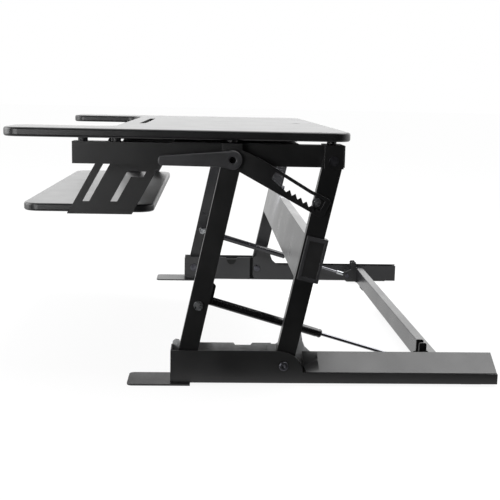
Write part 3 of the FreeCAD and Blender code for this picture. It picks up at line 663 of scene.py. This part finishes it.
# plain studio: floor, soft light and camera
studio = {"floorHex": "#f0f0f0", "glow": 0.9, "half": 30, "paperEnd": 0.5, "paperDrop": -0.0008}
floorHalf = studio["half"]
floorMesh = bpy.data.meshes.new("studioFloor")
floorMesh.from_pydata([(-floorHalf, -floorHalf, 0), (floorHalf, -floorHalf, 0), (floorHalf, floorHalf, 0),
                       (-floorHalf, floorHalf, 0)], [], [(0, 1, 2, 3)])
floor = bpy.data.objects.new("studioFloor", floorMesh)
bpy.context.scene.collection.objects.link(floor)
floorPaint, floorTree = startMaterial("paleFloor")
floorShader = addNode(floorTree, "ShaderNodeBsdfPrincipled", Roughness=0.9)
floorShader.inputs["Base Color"].default_value = toLinear(studio["floorHex"])
floorShader.inputs["Specular IOR Level"].default_value = 0.0
floorGlow = addNode(floorTree, "ShaderNodeEmission", Strength=1.0)
floorMix = addNode(floorTree, "ShaderNodeMixShader",
                   {1: floorShader.outputs["BSDF"], 2: floorGlow.outputs["Emission"]}, Fac=studio["glow"])
addNode(floorTree, "ShaderNodeOutputMaterial", {"Surface": floorMix.outputs["Shader"]})
floorMesh.materials.append(floorPaint)
floor.visible_glossy = False
# the same paper a hair lower, ending just beyond the near rail: only it shows in the gloss of the far side
sheen = floor.copy()
sheen.name = "studioPaper"
sheen.data = floorMesh.copy()
for corner in sheen.data.vertices:
    corner.co = (min(corner.co.x, studio["paperEnd"]), corner.co.y, studio["paperDrop"])
sheen.visible_glossy = True
bpy.context.scene.collection.objects.link(sheen)

world = bpy.data.worlds.new("softStudio")
world.use_nodes = True
bpy.context.scene.world = world
sky = world.node_tree
sky.nodes.clear()
direction = addNode(sky, "ShaderNodeTexCoord").outputs["Generated"]
parts = addNode(sky, "ShaderNodeSeparateXYZ", {"Vector": direction})
# bright beyond the left side, dim on the lever side that faces the lens; the lens itself sees plain white
skyLook = {"fade": (-0.5, 0.6), "bright": 1.9, "dim": 0.03}
fade = addNode(sky, "ShaderNodeMapRange", {"Value": parts.outputs["X"]}, {"interpolation_type": "SMOOTHSTEP"},
               From_Min=skyLook["fade"][0], From_Max=skyLook["fade"][1],
               To_Min=skyLook["bright"], To_Max=skyLook["dim"])
dim = addNode(sky, "ShaderNodeBackground", {"Strength": fade.outputs["Result"]}, Color=toLinear("#ffffff"))
plain = addNode(sky, "ShaderNodeBackground", Strength=1.0, Color=toLinear("#ffffff"))
rays = addNode(sky, "ShaderNodeLightPath")
mix = addNode(sky, "ShaderNodeMixShader",
              {0: rays.outputs["Is Camera Ray"], 1: dim.outputs[0], 2: plain.outputs[0]})
addNode(sky, "ShaderNodeOutputWorld", {"Surface": mix.outputs[0]})

lamps = {"sideBox": {"at": (2.6, -1.5, 0.45), "size": 1.3, "watts": 32},
         "keyFront": {"at": (0.3, -2.7, 0.95), "size": 1.9, "watts": 48},
         "overRear": {"at": (0.0, 1.0, 2.6), "size": 2.0, "watts": 65},
         # soft fill between the frames, for the inner faces of the far side
         "underDesk": {"at": (-0.1, 0.1, 0.34), "size": 0.2, "watts": 12, "to": (-0.42, 0.16, 0.34)}}
for lampName, lamp in lamps.items():
    light = bpy.data.lights.new(lampName, "AREA")
    light.shape = "SQUARE"
    light.size = lamp["size"]
    light.energy = lamp["watts"]
    holder = bpy.data.objects.new(lampName, light)
    holder.location = lamp["at"]
    holder.visible_camera = False
    holder.visible_glossy = "to" not in lamp
    aim = Vector(lamp.get("to", (0, 0, 0.2))) - Vector(lamp["at"])
    holder.rotation_euler = aim.to_track_quat("-Z", "Y").to_euler()
    bpy.context.scene.collection.objects.link(holder)

lens = {"focalMm": 65.43, "at": (1.9208, -0.08136, 0.47937), "yaw": 2.6939, "pitch": 9.6881, "roll": 1.1795}
yaw, pitch, roll = (math.radians(lens[k]) for k in ("yaw", "pitch", "roll"))
forward = Vector((-math.cos(yaw) * math.cos(pitch), math.sin(yaw) * math.cos(pitch), -math.sin(pitch)))
level = Vector((math.sin(yaw), math.cos(yaw), 0))
upward = level.cross(forward)
rightward = math.cos(roll) * level + math.sin(roll) * upward
topward = -math.sin(roll) * level + math.cos(roll) * upward
cameraData = bpy.data.cameras.new("studioCamera")
cameraData.lens = lens["focalMm"]
cameraData.sensor_width = 36
cameraData.clip_start = 0.01
camera = bpy.data.objects.new("studioCamera", cameraData)
camera.matrix_world = Matrix((rightward, topward, -forward)).transposed().to_4x4()
camera.location = lens["at"]
bpy.context.scene.collection.objects.link(camera)
bpy.context.scene.camera = camera
bpy.context.scene.view_settings.view_transform = "Standard"
print("studio ready")
